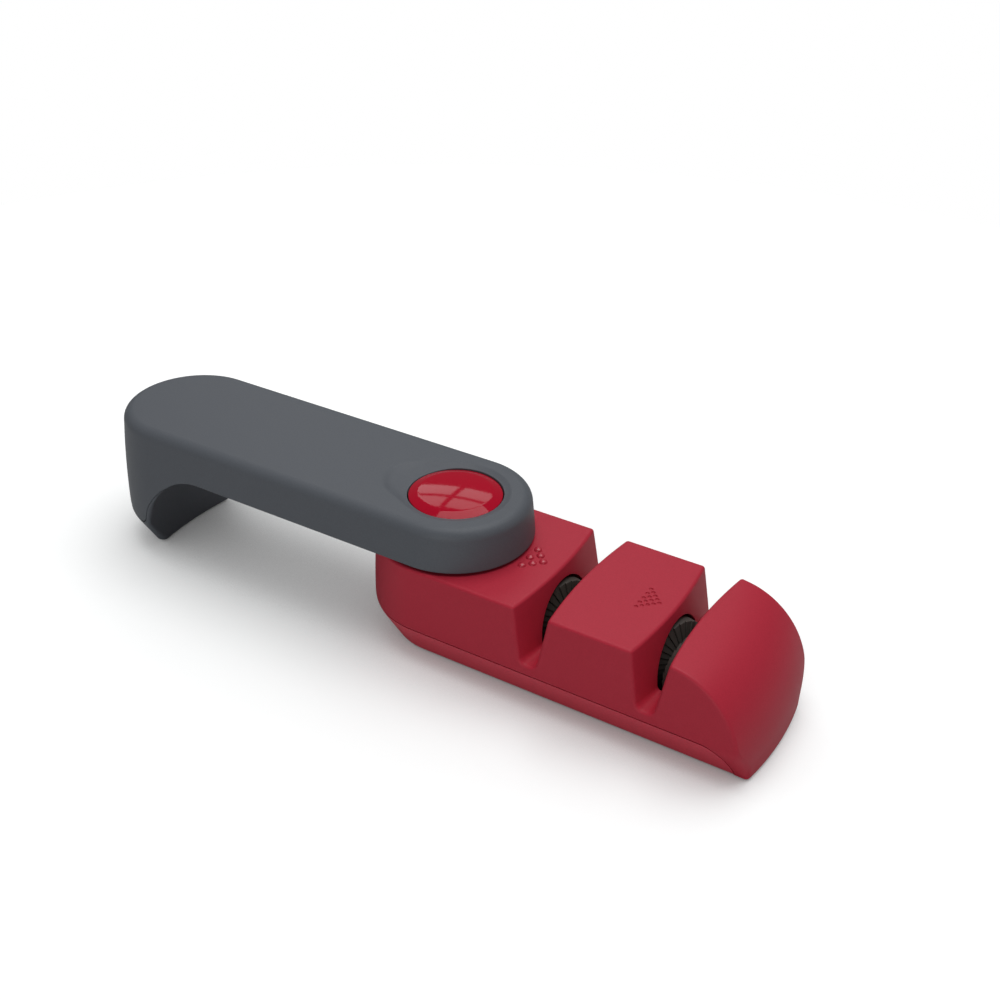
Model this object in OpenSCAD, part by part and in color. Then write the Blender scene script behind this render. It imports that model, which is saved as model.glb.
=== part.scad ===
// Folding pull-through knife sharpener, in millimetres.
// The origin is on the pivot axis at the surface that the object rests on. +X runs from
// the pivot to the nose of the base, +Z is up, and the open handle lies along -X.

/* [Body] */
// Width of base and handle at their seams
body_w = 38; // [37:0.5:41]
// Radius of the barrel curve of the side walls
barrel_r = 227; // [180:1:400]
// Height of the seams above the rest plane
seam_z = 9.3; // [9:0.1:9.8]
// How far the chamfered bottom draws in at its lowest edge
chamfer_in = 5; // [3:0.1:5.6]
// Thickness of the plastic walls
wall = 2.2; // [1.8:0.1:2.5]
// Thickness of floors and roofs of the shells
skin = 2; // [1.6:0.1:2.2]
// Width of the open seam lines
seam_gap = 0.2; // [0.1:0.05:0.4]
// Clearance of a piece that is set into another one
fit_gap = 0.1; // [0.05:0.05:0.2]

/* [Base] */
// Height of the top of the base
base_top = 25.7; // [25.2:0.1:27]
// Rounding of the top edges of the base
edge_round = 1; // [0.6:0.1:1.4]
// Radius of the nose about the pivot
nose_r = 82.6; // [81:0.1:90]
// Height at which the nose begins to curve back
nose_z = 5.2; // [3:0.1:8]
// How far the curve of the nose runs back at the top
nose_back = 17.4; // [14:0.1:18]
// Distance from the pivot at which the seam turns down
seam_turn_x = 71.5; // [70:0.1:74]
// Length of the turned-down end of the seam
seam_turn = 6.5; // [5:0.1:7.5]
// Depth of the rebate that takes the rim of the base plate
rebate = 1.4; // [1:0.1:1.8]
// Radius of the solid column under the pivot
column_r = 9.6; // [9.4:0.1:10.5]
// Distance of the base screws under the pivot from its axis
column_screw_at = 6.2; // [6:0.1:6.6]
// Distance of the other base screws from the middle line
base_screw_side = 10.6; // [9.5:0.1:11]
// Distance of the nose screws beyond the fine slot
nose_screw_in = 7.6; // [7.4:0.1:8.2]
// Length of the shanks of the base screws
base_screw_len = 11; // [9:0.5:12]
// Depth of floor that a base screw clamps
head_up = 2.6; // [2:0.1:3]

/* [Slots] */
// Distance from the pivot to the middle of the coarse slot
slot_x = 30.7; // [30.4:0.1:31.4]
// Distance between the two slots
slot_pitch = 28.1; // [27.6:0.1:29]
// Width of a slot at the top of the side face
slot_w = 8.8; // [8.4:0.1:9.8]
// Width of a slot at its floor, at the side face
slot_floor_w = 4; // [3.8:0.1:4.8]
// Height of the slot floor
slot_floor = 11.9; // [11.4:0.1:12.4]
// How far each slot wall swells towards the middle of the slot
slot_swell = 1.5; // [0.8:0.1:1.8]
// Rounding of the slot floor
slot_corner = 1.5; // [1:0.1:2]
// Radius of the arch that the wheels turn in
arch_r = 10.7; // [10.2:0.1:11]
// Height of the centre of the arch
arch_z = 12.3; // [12:0.1:12.5]

/* [Wheels] */
// Radius of the sharpening wheels
wheel_r = 8.4; // [7.8:0.1:8.6]
// Height of the axles
axle_z = 13; // [12.8:0.1:13.3]
// Angle of the axles in plan
axle_yaw = -18; // [-20:0.5:-12]
// Width of the smooth rim of one wheel
rim_w = 3; // [2.4:0.1:3.2]
// Width of the mouth of the V between two wheels
v_mouth = 3.5; // [3:0.1:4]
// Radius at the bottom of the V
v_root_r = 3; // [2.8:0.1:3.6]
// Number of cutting grooves round each wheel
grooves = 28; // [12:1:30]
// Depth of the cutting grooves
groove_d = 0.3; // [0.15:0.05:0.4]
// Running gap round the wheels
wheel_gap = 0.6; // [0.4:0.05:0.8]
// Radius of the steel axles
axle_r = 1.5; // [1.2:0.05:1.6]
// Running clearance of the hubs on the axles
axle_play = 0.05; // [0.03:0.01:0.1]
// Outer radius of the hubs
hub_r = 2.5; // [2.2:0.05:2.7]
// Gap between wheel and carrier cheek
cheek_gap = 0.35; // [0.2:0.05:0.5]
// Thickness of the carrier cheeks
cheek_t = 1.8; // [1.4:0.1:2]
// Half width of the carrier cheeks
cheek_r = 4.2; // [3.4:0.1:4.6]
// Half width of the carrier foot
foot_half = 6.4; // [5.5:0.1:6.6]
// Thickness of the carrier foot
foot_t = 1.4; // [1:0.1:1.6]
// Radius of the pegs that place a carrier
peg_r = 1; // [0.8:0.1:1.3]
// Bevel of the outer edge of a wheel
wheel_bevel = 0.6; // [0.3:0.05:0.8]

/* [Handle] */
// Thickness of the leg at its foot
leg_t = 14.6; // [13:0.1:18]
// Open gap between base top and handle
handle_gap = 0.7; // [0.6:0.1:1.2]
// Gap between the nose and the inner face of the leg
nose_gap = 0.6; // [0.5:0.1:1.4]
// Height of the handle above its underside
handle_h = 10.3; // [10.1:0.1:11]
// Rounding of the top edge of the handle
handle_round = 3.2; // [2.6:0.1:5]
// Thickness of the handle liner
liner_t = 1.8; // [1.6:0.1:2]
// Thickness of the roof of the handle
roof_t = 2.4; // [2.2:0.1:2.6]
// Radius of the dished recess round the button
dish_r = 14.4; // [13:0.1:15]
// Depth of the dished recess
dish_d = 0.7; // [0.4:0.05:0.9]
// How far the dish is set towards the far end
dish_shift = 2.6; // [1:0.1:3]
// Distance between the inner face of the leg and its screw
leg_screw_in = 5.6; // [5:0.1:6]
// Depth of the screw head in the leg cap
leg_head_in = 3; // [2:0.1:4]
// Height of the tongue of the leg cap above the seam
tongue_h = 4.5; // [3:0.1:6]
// Height of the joint between the leg cap and the liner on the inner face of the leg
leg_joint_z = 22; // [18:0.5:23.5]
// Distance from the pivot to the first pair of handle screws
handle_screw_near = 24; // [22:0.5:28]
// Distance from the pivot to the second pair of handle screws
handle_screw_far = 60; // [50:0.5:61]
// Distance of the handle screws from the middle line
handle_screw_side = 11.8; // [11:0.1:12.4]
// Length of the shanks of the handle screws
handle_screw_len = 5; // [4:0.1:5.6]

/* [Pivot and latch] */
// Radius of the pivot post
post_r = 7; // [6.6:0.1:7.4]
// Running clearance of the handle on the post
pivot_play = 0.05; // [0.03:0.01:0.1]
// Clearance above and below the turning liner
end_play = 0.1; // [0.05:0.05:0.2]
// Radius of the latch ring
ring_r = 9; // [8.8:0.1:9.2]
// Thickness of the latch ring
ring_t = 1.2; // [1:0.1:1.3]
// Width of the notches in the latch ring
notch_w = 2.8; // [2:0.1:3.4]
// Depth of the notches
notch_d = 1.1; // [0.7:0.1:1.3]
// Outer radius of the pivot washer
washer_r = 12.5; // [11:0.1:13.5]
// Thickness of the latch spring strip
strip_t = 0.4; // [0.3:0.05:0.5]
// Height of the latch spring strip
strip_h = 1.1; // [0.8:0.1:1.2]
// Half length of the latch spring strip
strip_half = 7; // [6:0.1:7.6]
// Distance of the strip behind the latch ring
strip_back = 4.2; // [3.8:0.1:4.6]
// Half width of the nose of the strip at its foot
strip_nose = 2.4; // [2:0.1:2.8]
// Radius of the posts that hold the strip
strip_post_r = 1.6; // [1.4:0.1:1.8]
// Length of the shanks of the pivot screws
pivot_screw_len = 6.2; // [5:0.1:7]

/* [Button] */
// Radius of the button
button_r = 10.75; // [10.6:0.05:10.9]
// Gap round the button
button_gap = 0.3; // [0.2:0.05:0.4]
// Height of the rim of the button above the handle underside
button_rim = 9.5; // [9.3:0.05:9.7]
// Rise of the domed top
button_dome = 1.2; // [0.8:0.1:1.6]
// Travel of the button
button_travel = 1.4; // [1:0.1:1.4]
// Wall of the button skirt
skirt_t = 1.3; // [1:0.05:1.4]
// Outer radius of the button spring
spring_r = 3.2; // [3:0.05:3.4]
// Wire of the button spring
spring_wire = 0.45; // [0.35:0.05:0.5]
// Turns of the button spring
spring_turns = 3; // [2.5:0.25:3.5]
// Radius of the plunger stem
stem_r = 1.9; // [1.6:0.1:2]
// Width of the lugs that keep the button in
lug_w = 4; // [3:0.1:5]
// Height of the lugs
lug_h = 0.8; // [0.6:0.1:0.9]
// Reach of the lugs beyond the button
lug_out = 1.1; // [0.8:0.1:1.2]
// Thickness of the top of the button
cap_t = 1.8; // [1.4:0.1:2]
// Thickness of the flange of the plunger
flange_t = 0.8; // [0.6:0.1:1]

/* [Screws and pads] */
// Radius of the screw shanks
screw_r = 1.2; // [1:0.05:1.3]
// Radius of the screw heads
head_r = 2.1; // [1.9:0.1:2.3]
// Height of the screw heads
head_h = 1.2; // [1:0.1:1.4]
// Wall round a screw
boss_wall = 1.2; // [1:0.1:1.4]
// Radius of the three pivot screws
pivot_screw_r = 0.9; // [0.8:0.05:1]
// Distance of the pivot screws from the pivot axis
pivot_screw_at = 5.2; // [5:0.1:5.4]
// Thickness of the anti-slip pads
pad_t = 1; // [0.8:0.1:1.2]
// How far the pads stand out below the plastic
pad_proud = 0.4; // [0.2:0.1:0.6]
// Radius of the round pad under the pivot
pad_r = 8.5; // [7.5:0.1:9]
// Distance from the pivot to the bar pad under the nose
bar_pad_x = 70; // [69:0.1:71]
// Width of the bar pads
bar_pad_w = 6; // [5:0.1:7]
// Length of the bar pad under the nose
bar_pad_l = 22; // [16:0.5:24]
// Width of the pad under the leg
leg_pad_w = 4.2; // [3.6:0.1:4.4]
// Length of the pad under the leg
leg_pad_l = 14; // [10:0.5:15]

/* [Grit marks] */
// Radius of the raised marks of the coarse slot
coarse_mark_r = 0.95; // [0.8:0.05:1.1]
// Radius of the dimples of the fine slot
fine_mark_r = 0.5; // [0.4:0.05:0.6]
// Rows of raised marks
coarse_rows = 3; // [2:1:3]
// Rows of dimples
fine_rows = 5; // [3:1:5]
// Distance from the coarse slot to its first mark
coarse_mark_in = 7.4; // [7:0.1:8]
// Distance between the rows of raised marks
coarse_mark_step = 1.7; // [1.6:0.1:2]
// Distance between the raised marks of a row
coarse_mark_pitch = 3.6; // [3.2:0.1:4]
// Distance from the fine slot to its first dimple
fine_mark_in = 6.8; // [6.4:0.1:7.2]
// Distance between the rows of dimples
fine_mark_step = 0.93; // [0.9:0.01:1]
// Distance between the dimples of a row
fine_mark_pitch = 1.86; // [1.8:0.02:2]

/* [Hidden] */
$fn = 96;
// Length by which a cut runs past a face
over = 1;
half = body_w / 2;
handle_len = nose_r + nose_gap + leg_t;
fine_x = slot_x + slot_pitch;
far_x = handle_len - half;
liner_z = base_top + handle_gap;
liner_top = liner_z + liner_t;
handle_top = liner_z + handle_h;
roof_z = handle_top - roof_t;
ring_z = liner_top + end_play;
ring_top = ring_z + ring_t;
plate_floor = pad_proud + skin;
rebate_z = seam_z + rebate;
wheel_half = v_mouth / 2 + rim_w;
cheek_in = wheel_half + cheek_gap;
cheek_out = cheek_in + cheek_t;
pocket_half = cheek_out + fit_gap * 3;
pocket_side = foot_half + fit_gap * 3;
pocket_top = axle_z + cheek_r + fit_gap * 3;
pocket_reach = pocket_half * cos(axle_yaw) + pocket_side * abs(sin(axle_yaw));
boss_r = head_r + boss_wall;
head_seat = plate_floor + head_up;
mid_x = slot_x + slot_pitch / 2;
// Screws of the base: two under the pivot column, two between the slots, two at the nose
base_screw_at = [for (side = [-1, 1]) each [[0, side * column_screw_at],
  [mid_x, side * base_screw_side], [fine_x + nose_screw_in, side * base_screw_side]]];
handle_screw_at = [for (side = [-1, 1], x = [handle_screw_near, handle_screw_far])
  [-x, side * handle_screw_side]];
leg_screw_x = -nose_r - nose_gap - leg_screw_in;
strip_x = -ring_r - strip_back;
handle_head_z = liner_z + head_h + 0.3;
collar_r = button_r + button_gap;
rim_z = liner_z + button_rim;
skirt_z = ring_z + button_travel + fit_gap;
collar_z = skirt_z + lug_h + button_gap;
cap_under = rim_z - cap_t;
plunger_z = ring_top + button_travel + fit_gap;
flange_r = spring_r + 0.6;
spring_top = cap_under - flange_t;
bow_steps = 14;
side_steps = 8;

// Half width of the body at height z: chamfered below the seam, barrel-shaped above it
function half_w(z) = z < seam_z
  ? half - chamfer_in * (seam_z - z) / (seam_z - pad_proud)
  : half - pow(z - seam_z, 2) / (2 * barrel_r);

// Edge of the section from z0 up to z1, drawn in by inset, its top edge rounded
function side_edge(z0, z1, inset, round) = concat(
  z0 < seam_z ? [[half_w(z0) - inset, z0]] : [],
  z1 > seam_z ? [for (i = [0:side_steps])
    let (a = max(z0, seam_z), z = a + (z1 - round - a) * i / side_steps)
    [half_w(z) - inset, z]] : [[half_w(z1) - inset, z1]],
  round > 0 ? [for (i = [1:4]) let (a = i * 22.5)
    [half_w(z1 - round) - inset - round * (1 - cos(a)), z1 - round + round * sin(a)]] : []);

function flip(points) = [for (i = [len(points) - 1:-1:0]) [-points[i][0], points[i][1]]];

// Half of a round end, on the side where y is positive
module half_end(z0, z1, inset, round) {
  rotate_extrude(angle = 180)
    polygon(concat([[0, z0]], side_edge(z0, z1, inset, round), [[0, z1]]));
}

// Straight bar of the full section from x0 to x1
module bar(x0, x1, z0, z1, inset, round) {
  edge = side_edge(z0, z1, inset, round);
  translate([x0, 0, 0])
    rotate([90, 0, 90])
      linear_extrude(x1 - x0)
        polygon(concat(edge, flip(edge)));
}

// Everything within the bowed nose surface about the pivot, grown by out and up
module bow(out, up) {
  back = nose_r - nose_back;
  rise = base_top - nose_z + up;
  rotate_extrude($fn = 180)
    polygon(concat([[0, -1], [nose_r + out, -1]],
      [for (i = [0:bow_steps]) let (a = 90 * i / bow_steps)
        [back + (nose_back + out) * cos(a), nose_z + rise * sin(a)]],
      [[0, nose_z + rise]]));
}

// Form of the base, round about the pivot and bowed at the nose, drawn in by inset
module base_form(z0, z1, inset, round) {
  intersection() {
    union() {
      rotate([0, 0, 90]) half_end(z0, z1, inset, round);
      bar(0, nose_r + over, z0, z1, inset, round);
    }
    bow(-inset, inset > 0 ? -skin : 0);
  }
}

// Outer form of the handle, round at both ends
module handle_form(z0, z1, inset, round) {
  rotate([0, 0, -90]) half_end(z0, z1, inset, round);
  bar(-far_x, 0, z0, z1, inset, round);
  translate([-far_x, 0, 0]) rotate([0, 0, 90]) half_end(z0, z1, inset, round);
}

// Space below the seam of the base, with its turned-down end
module below_seam(grow) {
  rotate([90, 0, 0])
    linear_extrude(body_w * 2, center = true)
      polygon(concat([[-body_w, -1], [seam_turn_x + seam_turn + grow, -1]],
        [for (i = [0:8]) let (a = 90 * i / 8)
          [seam_turn_x + (seam_turn + grow) * cos(a), (seam_z + grow) * sin(a)]],
        [[-body_w, seam_z + grow]]));
}

module slab(x0, x1) {
  translate([x0, -body_w, -1]) cube([x1 - x0, body_w * 2, base_top * 2]);
}

module at_each(places) {
  for (p = places) translate([p[0], p[1], 0]) children();
}

// The three places of the pivot screws
module at_pivot_screws() {
  for (a = [60, 180, 300]) rotate([0, 0, a]) translate([pivot_screw_at, 0, 0]) children();
}

// Body of revolution that leaves one swelling slot wall, with its rounded top edge
module wall_form() {
  big_r = (half * half + slot_swell * slot_swell) / (2 * slot_swell);
  lean = (slot_w - slot_floor_w) / 2 / (base_top - slot_floor);
  shift = slot_w / 2 - slot_swell + big_r;
  low = slot_floor - over * 2;
  foot = (base_top - low) * lean;
  translate([shift, 0, 0])
    rotate_extrude($fn = 360)
      polygon([[0, low], [big_r + foot, low],
        [big_r + edge_round * lean, base_top - edge_round],
        [big_r - edge_round * 0.1, base_top - edge_round * 0.3],
        [big_r - edge_round * 0.45, base_top], [0, base_top]]);
}

module slot_cut() {
  low = slot_floor_w / 2;
  difference() {
    rotate([90, 0, 0])
      linear_extrude(body_w + over * 2, center = true)
        polygon(concat([[slot_w * 0.8, base_top + over]],
          [for (i = [0:4]) let (a = i * 22.5)
            [low - slot_corner * (1 - cos(a)), slot_floor + slot_corner * (1 - sin(a))]],
          [for (i = [4:-1:0]) let (a = i * 22.5)
            [-low + slot_corner * (1 - cos(a)), slot_floor + slot_corner * (1 - sin(a))]],
          [[-slot_w * 0.8, base_top + over]]));
    wall_form();
    mirror([1, 0, 0]) wall_form();
  }
}

// Room in the housing for one pair of wheels and its carrier
module wheel_room() {
  arch_half = wheel_half + wheel_gap * 1.5;
  translate([0, 0, arch_z])
    rotate([0, 90, 0]) cylinder(r = arch_r, h = arch_half * 2, center = true);
  rotate([0, 0, axle_yaw]) {
    translate([0, 0, axle_z])
      rotate([0, 90, 0])
        cylinder(r = wheel_r + wheel_gap, h = wheel_half * 2 + wheel_gap, center = true);
    translate([-pocket_half, -pocket_side, 0])
      cube([pocket_half * 2, pocket_side * 2, pocket_top]);
  }
}

// Hollows between the ribs of the housing
module housing_hollow() {
  web = skin;
  difference() {
    intersection() {
      base_form(seam_z - over, base_top - skin, wall, 0);
      union() {
        slab(-half, slot_x - pocket_reach - web);
        slab(slot_x + pocket_reach + web, fine_x - pocket_reach - web);
        slab(fine_x + pocket_reach + web, nose_r);
      }
    }
    cylinder(r = column_r, h = base_top);
    at_each(base_screw_at) cylinder(r = boss_r, h = base_top);
  }
}

module coarse_marks() {
  for (row = [0:coarse_rows - 1], i = [0:row])
    translate([slot_x - coarse_mark_in - row * coarse_mark_step,
      (i - row / 2) * coarse_mark_pitch, base_top])
      intersection() {
        translate([0, 0, -coarse_mark_r]) sphere(r = coarse_mark_r * 1.5);
        cylinder(r = coarse_mark_r, h = coarse_mark_r, center = true);
      }
}

module fine_marks() {
  for (row = [0:fine_rows - 1], i = [0:row])
    translate([fine_x - fine_mark_in - row * fine_mark_step,
      (i - row / 2) * fine_mark_pitch, base_top + fine_mark_r * 0.3])
      sphere(r = fine_mark_r);
}

module base_housing() {
  color([0.6, 0.17, 0.21])
    difference() {
      union() {
        base_form(pad_proud, base_top, 0, edge_round);
        translate([0, 0, base_top - over]) cylinder(r = post_r, h = ring_z - base_top + over);
        coarse_marks();
      }
      below_seam(seam_gap);
      intersection() {
        base_form(seam_z - over, rebate_z, wall, 0);
        slab(-half, seam_turn_x - wall);
      }
      at_each(base_screw_at) cylinder(r = boss_r + fit_gap, h = rebate_z);
      housing_hollow();
      for (x = [slot_x, fine_x]) translate([x, 0, 0]) {
        slot_cut();
        wheel_room();
      }
      at_each(base_screw_at)
        translate([0, 0, -over]) cylinder(r = screw_r, h = head_seat + base_screw_len + over * 1.5);
      at_pivot_screws()
        translate([0, 0, ring_top - pivot_screw_len - over])
          cylinder(r = pivot_screw_r, h = pivot_screw_len + over * 2);
      fine_marks();
    }
}

module base_plate() {
  rim_in = wall + fit_gap;
  rim_t = wall * 0.45;
  color([0.63, 0.22, 0.25])
    difference() {
      union() {
        difference() {
          intersection() {
            base_form(pad_proud, seam_z, 0, 0);
            below_seam(0);
          }
          intersection() {
            base_form(plate_floor, seam_z + over, wall, 0);
            slab(-half, seam_turn_x - wall);
          }
        }
        intersection() {
          difference() {
            union() {
              base_form(seam_z - rebate, seam_z, wall - 0.3, 0);
              base_form(seam_z - rebate, rebate_z - fit_gap, rim_in, 0);
            }
            base_form(seam_z - rebate - over, rebate_z + over, rim_in + rim_t, 0);
          }
          slab(-half, seam_turn_x - wall - 2);
        }
        at_each(base_screw_at)
          translate([0, 0, plate_floor - 0.5]) cylinder(r = boss_r, h = rebate_z - plate_floor + 0.5);
        for (x = [slot_x, fine_x], side = [-1, 1])
          translate([x, 0, plate_floor - 0.5])
            rotate([0, 0, axle_yaw])
              translate([side * (wheel_half - peg_r), 0, 0]) cylinder(r = peg_r, h = 0.5 + foot_t);
      }
      at_each(base_screw_at) {
        cylinder(r = screw_r + fit_gap, h = rebate_z + over);
        translate([0, 0, -over]) cylinder(r = head_r + fit_gap, h = head_seat + over);
      }
      cylinder(r = pad_r + fit_gap, h = pad_t);
      translate([bar_pad_x, 0, 0]) bar_pad(bar_pad_w + fit_gap * 2, bar_pad_l + fit_gap * 2, pad_t);
    }
}

// Bar with round ends across the body, standing on the rest plane
module bar_pad(w, l, t) {
  translate([-w / 2, -(l - w) / 2, 0]) cube([w, l - w, t]);
  for (side = [-1, 1]) translate([0, side * (l - w) / 2, 0]) cylinder(r = w / 2, h = t);
}

module base_pads() {
  color([0.13, 0.13, 0.14]) {
    cylinder(r = pad_r, h = pad_t);
    translate([bar_pad_x, 0, 0]) bar_pad(bar_pad_w, bar_pad_l, pad_t);
  }
}

// Screw driven upwards, with the seat of its head at height zero
module screw_up(r, head, head_t, l) {
  difference() {
    union() {
      translate([0, 0, -head_t]) cylinder(r = head, h = head_t);
      cylinder(r = r, h = l);
    }
    translate([0, 0, -head_t - over]) cylinder(r = head * 0.45, h = head_t * 0.6 + over, $fn = 6);
  }
}

module base_screws() {
  color([0.62, 0.63, 0.65])
    at_each(base_screw_at)
      translate([0, 0, head_seat]) screw_up(screw_r, head_r, head_h, base_screw_len);
}

// Carrier about its axle: two cheeks on a foot, holed for the axle and the pegs
module carrier() {
  drop = axle_z - plate_floor;
  difference() {
    union() {
      for (side = [-1, 1]) translate([side * (cheek_in + cheek_t / 2), 0, 0]) {
        rotate([0, 90, 0]) cylinder(r = cheek_r, h = cheek_t, center = true);
        translate([-cheek_t / 2, -cheek_r, -drop]) cube([cheek_t, cheek_r * 2, drop]);
      }
      translate([-cheek_out, -foot_half, -drop]) cube([cheek_out * 2, foot_half * 2, foot_t]);
    }
    rotate([0, 90, 0]) cylinder(r = axle_r, h = cheek_out * 3, center = true);
    for (side = [-1, 1]) translate([side * (wheel_half - peg_r), 0, -drop - over])
      cylinder(r = peg_r + fit_gap, h = foot_t + over * 2);
  }
}

module on_axle(x) {
  translate([x, 0, axle_z]) rotate([0, 0, axle_yaw]) children();
}

module axle() {
  rotate([0, 90, 0]) cylinder(r = axle_r, h = cheek_out * 2, center = true);
}

module hub() {
  rotate([0, 90, 0])
    difference() {
      cylinder(r = hub_r, h = wheel_half * 2, center = true);
      cylinder(r = axle_r + axle_play, h = wheel_half * 3, center = true);
    }
}

// One wheel: smooth rim outside, grooved cone inside; its cone looks along +X
module wheel() {
  lean = atan2(v_mouth / 2, wheel_r - v_root_r);
  rotate([0, 90, 0])
    difference() {
      rotate_extrude()
        polygon([[hub_r, -wheel_half], [wheel_r - wheel_bevel, -wheel_half],
          [wheel_r, -wheel_half + wheel_bevel],
          [wheel_r, -v_mouth / 2], [v_root_r, 0], [hub_r, 0]]);
      for (i = [0:grooves - 1])
        rotate([0, 0, i * 360 / grooves])
          translate([v_root_r, 0, 0])
            rotate([0, lean, 0])
              rotate([45, 0, 0])
                translate([groove_d * 5, -groove_d, -groove_d])
                  cube([wheel_r * 1.2, groove_d * 2, groove_d * 2]);
    }
}

module pivot_washer() {
  color([0.92, 0.92, 0.9])
    translate([0, 0, base_top])
      difference() {
        cylinder(r = washer_r, h = handle_gap - end_play / 2);
        translate([0, 0, -over]) cylinder(r = post_r + fit_gap, h = handle_gap + over * 2);
      }
}

module latch_ring() {
  color([0.7, 0.71, 0.73])
    translate([0, 0, ring_z])
      difference() {
        cylinder(r = ring_r, h = ring_t);
        translate([0, 0, -over]) cylinder(r = stem_r + fit_gap * 3, h = ring_t + over * 2);
        at_pivot_screws()
          translate([0, 0, -over]) cylinder(r = pivot_screw_r + fit_gap, h = ring_t + over * 2);
        for (side = [-1, 1])
          translate([side * (ring_r - notch_d / 2 + over), 0, ring_t / 2])
            cube([notch_d + over * 2, notch_w, ring_t + over * 2], center = true);
      }
}

module pivot_screws() {
  color([0.62, 0.63, 0.65])
    at_pivot_screws()
      translate([0, 0, ring_top])
        mirror([0, 0, 1]) screw_up(pivot_screw_r, pivot_screw_r * 1.6, pivot_screw_r, pivot_screw_len);
}

// Space that the base and its nose need under the handle
module swing_space(extra = 0) {
  bow(nose_gap + extra, handle_gap + extra);
}

module handle_shell() {
  color([0.29, 0.29, 0.31])
    difference() {
      union() {
        difference() {
          handle_form(seam_z + seam_gap / 2, handle_top, 0, handle_round);
          swing_space();
          handle_form(seam_z - over, roof_z, wall, 0);
        }
        translate([0, 0, collar_z]) cylinder(r = collar_r + wall * 0.6, h = roof_z - collar_z + 0.5);
        at_each(handle_screw_at)
          translate([0, 0, liner_top + skin]) cylinder(r = boss_r, h = roof_z - liner_top - skin + 0.5);
        translate([leg_screw_x, 0, seam_z + tongue_h + 0.5])
          cylinder(r = screw_r * 2, h = roof_z - seam_z - tongue_h);
      }
      translate([0, 0, liner_z]) cylinder(r = collar_r, h = handle_h + over);
      translate([-dish_shift, 0, handle_top])
        translate([0, 0, dish_ball() - dish_d]) sphere(r = dish_ball(), $fn = 360);
      at_each(handle_screw_at)
        translate([0, 0, liner_z]) cylinder(r = screw_r, h = roof_z - liner_z);
      translate([leg_screw_x, 0, 0]) cylinder(r = screw_r, h = roof_z - skin);
    }
}

// Radius of the ball whose cap is the dish
function dish_ball() = (dish_r * dish_r + dish_d * dish_d) / (2 * dish_d);

module handle_liner() {
  color([0.24, 0.24, 0.26])
    difference() {
      union() {
        difference() {
          intersection() {
            handle_form(leg_joint_z + seam_gap / 2, liner_top, wall + fit_gap, 0);
            swing_space(liner_t);
          }
          swing_space();
        }
        at_each(handle_screw_at)
          translate([0, 0, liner_z]) cylinder(r = boss_r, h = liner_t + skin);
        for (side = [-1, 1]) strip_post(side);
      }
      translate([0, 0, liner_z - over]) cylinder(r = post_r + pivot_play, h = liner_t + over * 2);
      at_each(handle_screw_at) {
        translate([0, 0, liner_z - over]) cylinder(r = screw_r + fit_gap, h = liner_t + skin + over * 2);
        translate([0, 0, liner_z - over]) cylinder(r = head_r + fit_gap, h = handle_head_z - liner_z + over);
      }
    }
}

// Post on the liner that holds one end of the latch spring
module strip_post(side) {
  r = strip_post_r;
  translate([strip_x, side * strip_half, liner_z])
    difference() {
      cylinder(r = r, h = liner_t + end_play + strip_h);
      translate([-strip_t / 2 - fit_gap / 2, side > 0 ? -r - over : -fit_gap, liner_t])
        cube([strip_t + fit_gap, r + over + fit_gap, strip_h + over]);
    }
}

// Sprung strip across the liner, its nose resting in a notch of the latch ring
module latch_spring() {
  x = strip_x;
  tip = -ring_r + notch_d - strip_t * 0.75;
  t = strip_t;
  foot = strip_nose * 4 / 3;
  knee = x + strip_t * 4;
  line = [[x, -strip_half], [x, -foot], [knee, -strip_nose], [tip, -strip_t], [tip, strip_t],
    [knee, strip_nose], [x, foot], [x, strip_half]];
  color([0.72, 0.73, 0.75])
    translate([0, 0, liner_top + end_play])
      linear_extrude(strip_h)
        polygon(concat([for (p = line) [p[0] + t / 2, p[1]]],
          [for (i = [len(line) - 1:-1:0]) [line[i][0] - t / 2, line[i][1]]]));
}

module leg_cap() {
  color([0.29, 0.29, 0.31])
    difference() {
      union() {
        difference() {
          handle_form(pad_proud, seam_z - seam_gap / 2, 0, 0);
          swing_space();
        }
        difference() {
          union() {
            handle_form(seam_z - skin, seam_z + tongue_h, wall + fit_gap, 0);
            intersection() {
              handle_form(seam_z - skin, leg_joint_z - seam_gap / 2, wall + fit_gap, 0);
              swing_space(liner_t);
            }
          }
          swing_space();
        }
      }
      translate([leg_screw_x, 0, 0]) {
        cylinder(r = screw_r + fit_gap, h = seam_z + tongue_h + over);
        translate([0, 0, -over]) cylinder(r = head_r + fit_gap, h = leg_head_in + head_h + over);
        bar_pad(leg_pad_w + fit_gap * 2, leg_pad_l + fit_gap * 2, pad_t);
      }
    }
}

module leg_pad() {
  color([0.13, 0.13, 0.14])
    translate([leg_screw_x, 0, 0]) bar_pad(leg_pad_w, leg_pad_l, pad_t);
}

module handle_screws() {
  color([0.62, 0.63, 0.65])
    at_each(handle_screw_at)
      translate([0, 0, handle_head_z]) screw_up(screw_r, head_r, head_h, handle_screw_len);
}

module leg_screw() {
  color([0.62, 0.63, 0.65])
    translate([leg_screw_x, 0, leg_head_in + head_h])
      screw_up(screw_r, head_r, head_h, seam_z + tongue_h * 2);
}

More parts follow.
